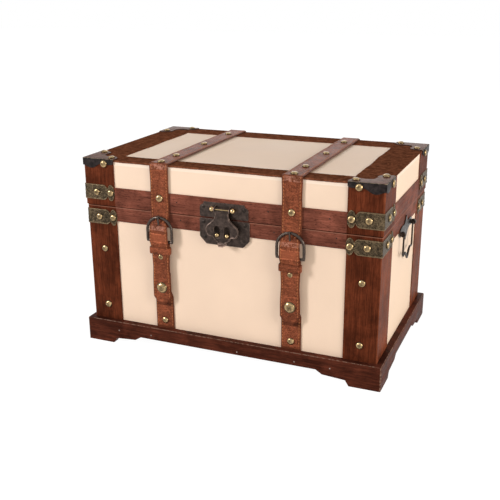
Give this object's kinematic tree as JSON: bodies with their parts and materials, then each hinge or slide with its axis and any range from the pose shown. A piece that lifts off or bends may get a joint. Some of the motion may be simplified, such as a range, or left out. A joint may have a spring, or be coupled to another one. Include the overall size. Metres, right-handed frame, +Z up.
{
  "type": "decorative wooden box",
  "caption": "Trunk-style lidded wooden box with a footed plinth, hasp latch, buckled leather straps, metal corner trim and swinging side handles.",
  "frame": {"origin": "middle of the floor under the whole box, hardware included", "axes": "+X along the box to its right end, -Y out of the front with the latch, +Z up"},
  "size_m": [0.391, 0.2535, 0.246],
  "materials": {
    "inner_wood": "stained, satin",
    "dark_stained_wood": "dark stained, satin lacquer",
    "corner_post_wood": "dark stained, satin lacquer",
    "rim_band_wood": "reddish stained, fine open grain",
    "top_strip_leatherette": "matte brown leatherette",
    "cream_leatherette": "smooth matte cream leatherette",
    "brown_strap_leather": "creased brown leather, stitched edges",
    "antique_brass": "antique brass, worn bright",
    "embossed_brass": "aged brass, embossed",
    "dark_bronze": "dark bronze, worn",
    "dark_gunmetal": "dark gunmetal, edges worn bright",
    "buckle_steel": "dark gunmetal plating",
    "black_iron": "black, semi-gloss"
  },
  "bodies": {
    "base": {"base_back_board": "inner_wood", "base_back_panel": "cream_leatherette", "base_corner_posts": "corner_post_wood", "base_corner_straps": "embossed_brass", "base_floor_board": "inner_wood", "base_front_board": "inner_wood", "base_front_panel": "cream_leatherette", "base_left_board": "inner_wood", "base_left_panel": "cream_leatherette", "base_nails": "antique_brass", "base_right_board": "inner_wood", "base_right_panel": "cream_leatherette", "base_rim_bands": "rim_band_wood", "hinge_base_leaves": "dark_bronze", "hinge_pins": "dark_bronze", "latch_lower_plate": "dark_bronze", "latch_studs": "antique_brass", "left_handle_plate": "black_iron", "left_lower_strap": "brown_strap_leather", "plinth_back": "dark_stained_wood", "plinth_front": "dark_stained_wood", "plinth_left": "dark_stained_wood", "plinth_right": "dark_stained_wood", "right_handle_plate": "black_iron", "right_lower_strap": "brown_strap_leather", "snap_studs": "antique_brass"},
    "lid": {"hinge_lid_leaves": "dark_bronze", "latch_pin": "antique_brass", "latch_upper_plate": "dark_bronze", "left_upper_strap": "brown_strap_leather", "lid_back_board": "inner_wood", "lid_back_panel": "cream_leatherette", "lid_corner_caps": "dark_gunmetal", "lid_corner_posts": "corner_post_wood", "lid_corner_straps": "embossed_brass", "lid_front_board": "inner_wood", "lid_front_panel": "cream_leatherette", "lid_left_board": "inner_wood", "lid_left_panel": "cream_leatherette", "lid_nails": "antique_brass", "lid_right_board": "inner_wood", "lid_right_panel": "cream_leatherette", "lid_rim_bands": "rim_band_wood", "lid_top_board": "inner_wood", "lid_top_panel": "cream_leatherette", "lid_top_strips": "top_strip_leatherette", "right_upper_strap": "brown_strap_leather"},
    "hasp": {"latch_hasp": "dark_bronze"},
    "left_strap": {"left_buckle": "buckle_steel", "left_keeper": "brown_strap_leather", "left_snap_cap": "antique_brass", "left_strap_tab": "brown_strap_leather", "left_strap_tail": "brown_strap_leather"},
    "right_strap": {"right_buckle": "buckle_steel", "right_keeper": "brown_strap_leather", "right_snap_cap": "antique_brass", "right_strap_tab": "brown_strap_leather", "right_strap_tail": "brown_strap_leather"},
    "left_bail": {"left_handle_bail": "black_iron"},
    "right_bail": {"right_handle_bail": "black_iron"}
  },
  "joints": [
    {"name": "lid_hinge", "type": "hinge", "parent": "base", "child": "lid", "pos_m": [0, 0.12355, 0.183], "axis": [-1, 0, 0], "range_deg": [0, 100]},
    {"name": "hasp_hinge", "type": "hinge", "parent": "lid", "child": "hasp", "pos_m": [0, -0.12005, 0.1955], "axis": [-1, 0, 0], "range_deg": [0, 110]},
    {"name": "left_strap_bend", "type": "hinge", "parent": "lid", "child": "left_strap", "pos_m": [-0.084, -0.11575, 0.186], "axis": [-1, 0, 0], "range_deg": [0, 80]},
    {"name": "right_strap_bend", "type": "hinge", "parent": "lid", "child": "right_strap", "pos_m": [0.084, -0.11575, 0.186], "axis": [-1, 0, 0], "range_deg": [0, 80]},
    {"name": "left_bail_swing", "type": "hinge", "parent": "base", "child": "left_bail", "pos_m": [-0.1923, 0.00275, 0.161], "axis": [0, 1, 0], "range_deg": [0, 90]},
    {"name": "right_bail_swing", "type": "hinge", "parent": "base", "child": "right_bail", "pos_m": [0.1923, 0.00275, 0.161], "axis": [0, -1, 0], "range_deg": [0, 90]}
  ]
}
